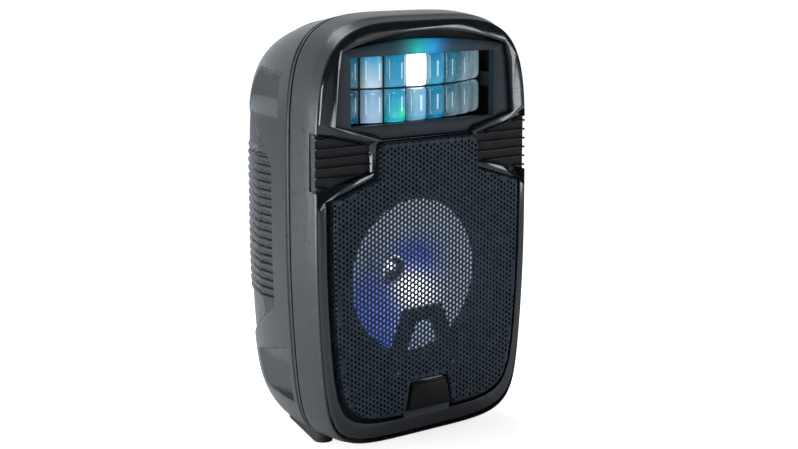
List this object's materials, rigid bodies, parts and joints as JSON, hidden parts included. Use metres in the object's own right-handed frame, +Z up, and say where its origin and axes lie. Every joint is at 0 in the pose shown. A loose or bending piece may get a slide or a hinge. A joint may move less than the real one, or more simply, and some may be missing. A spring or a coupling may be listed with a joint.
{
  "type": "portable party speaker",
  "caption": "Portable party speaker: upright moulded box with a woofer behind a perforated grille, a lens-array light effect above it and a rear control panel.",
  "frame": {"origin": "on the floor, under the middle of the overall box", "axes": "+Z up, -Y out of the grille, +X to the right seen from the front"},
  "size_m": [0.25, 0.2224, 0.405],
  "materials": {
    "shell_plastic": "satin, finely grained",
    "gloss_black": "piano gloss",
    "black_plastic": "satin",
    "window_plastic": "satin",
    "grille_steel": "satin powder coat",
    "lens_clear": "clear moulded",
    "lamp": "lit",
    "cone_paper": "pressed paper",
    "cap_gloss": "gloss",
    "rubber_black": "matte",
    "spider_cloth": "resin-dipped cloth",
    "zinc_steel": "zinc plated",
    "ferrite": "fired",
    "coated_steel": "black coat",
    "copper_coil": "lacquered winding",
    "circuit_board": "solder mask",
    "heat_sink_aluminium": "extruded",
    "battery_case": "shrink sleeve",
    "knob_plastic": "soft satin",
    "button_metal": "silver",
    "rocker_red": "gloss",
    "display_tint": "tinted",
    "cable_red": "satin"
  },
  "bodies": {
    "housing": {"rear_shell": "shell_plastic", "front_shell": "shell_plastic", "seam_gasket": "rubber_black", "front_bezel": "gloss_black", "louvre_left": "black_plastic", "louvre_right": "black_plastic", "grille": "grille_steel", "badge": "gloss_black", "window_panel": "window_plastic", "lens_carrier": "black_plastic", "lenses": "lens_clear", "swing_bracket": "zinc_steel", "swing_motor": "zinc_steel", "led_bridge": "black_plastic", "bridge_lights": "lamp", "woofer_basket": "coated_steel", "woofer_front_plate": "zinc_steel", "woofer_magnet": "ferrite", "woofer_back_plate": "zinc_steel", "surround": "rubber_black", "spider": "spider_cloth", "woofer_screws": "coated_steel", "carry_handle": "black_plastic", "control_panel": "black_plastic", "display_window": "display_tint", "potentiometers": "zinc_steel", "button_switches": "black_plastic", "rocker_frame": "black_plastic", "usb_port": "zinc_steel", "card_slot": "black_plastic", "mic_jacks": "zinc_steel", "line_jack": "black_plastic", "charge_socket": "black_plastic", "amp_board": "circuit_board", "heat_sink": "heat_sink_aluminium", "battery": "battery_case", "battery_strap": "zinc_steel", "inner_screws": "zinc_steel", "rubber_feet": "rubber_black", "shell_screws": "coated_steel", "panel_screws": "coated_steel", "speaker_cable": "cable_red"},
    "cone_assembly": {"woofer_cone": "cone_paper", "dust_cap": "cap_gloss", "voice_coil": "copper_coil"},
    "lamp_assembly": {"swing_shaft": "zinc_steel", "lamp_carriage": "black_plastic", "lamp_board": "circuit_board", "lamp_emitters": "lamp"},
    "volume": {"volume_knob": "knob_plastic"},
    "treble": {"treble_knob": "knob_plastic"},
    "bass": {"bass_knob": "knob_plastic"},
    "echo": {"echo_knob": "knob_plastic"},
    "mic_volume": {"mic_knob": "knob_plastic"},
    "mode": {"mode_button": "button_metal"},
    "previous": {"previous_button": "button_metal"},
    "play": {"play_button": "button_metal"},
    "next": {"next_button": "button_metal"},
    "light": {"light_button": "button_metal"},
    "power": {"power_rocker": "rocker_red"}
  },
  "joints": [
    {"name": "cone_travel", "type": "slide", "parent": "housing", "child": "cone_assembly", "axis": [0, 1, 0], "range_m": [-0.003, 0.003], "stiffness_N_per_m": 1500, "deforming": ["surround", "spider"]},
    {"name": "lamp_swing", "type": "hinge", "parent": "housing", "child": "lamp_assembly", "pos_m": [0, -0.0277, 0.292], "axis": [0, 0, 1], "range_deg": [-30, 30]},
    {"name": "volume_turn", "type": "hinge", "parent": "housing", "child": "volume", "pos_m": [0, 0.0943, 0.195], "axis": [0, 1, 0], "range_deg": [-140, 140]},
    {"name": "treble_turn", "type": "hinge", "parent": "housing", "child": "treble", "pos_m": [-0.032, 0.0943, 0.199], "axis": [0, 1, 0], "range_deg": [-140, 140]},
    {"name": "bass_turn", "type": "hinge", "parent": "housing", "child": "bass", "pos_m": [0.032, 0.0943, 0.199], "axis": [0, 1, 0], "range_deg": [-140, 140]},
    {"name": "echo_turn", "type": "hinge", "parent": "housing", "child": "echo", "pos_m": [-0.032, 0.0943, 0.169], "axis": [0, 1, 0], "range_deg": [-140, 140]},
    {"name": "mic_turn", "type": "hinge", "parent": "housing", "child": "mic_volume", "pos_m": [0.032, 0.0943, 0.169], "axis": [0, 1, 0], "range_deg": [-140, 140]},
    {"name": "mode_press", "type": "slide", "parent": "housing", "child": "mode", "axis": [0, -1, 0], "range_m": [0, 0.0008], "stiffness_N_per_m": 600},
    {"name": "previous_press", "type": "slide", "parent": "housing", "child": "previous", "axis": [0, -1, 0], "range_m": [0, 0.0008], "stiffness_N_per_m": 600},
    {"name": "play_press", "type": "slide", "parent": "housing", "child": "play", "axis": [0, -1, 0], "range_m": [0, 0.0008], "stiffness_N_per_m": 600},
    {"name": "next_press", "type": "slide", "parent": "housing", "child": "next", "axis": [0, -1, 0], "range_m": [0, 0.0008], "stiffness_N_per_m": 600},
    {"name": "light_press", "type": "slide", "parent": "housing", "child": "light", "axis": [0, -1, 0], "range_m": [0, 0.0008], "stiffness_N_per_m": 600},
    {"name": "power_tip", "type": "hinge", "parent": "housing", "child": "power", "pos_m": [-0.022, 0.0933, 0.115], "axis": [1, 0, 0], "range_deg": [-18, 0]}
  ]
}
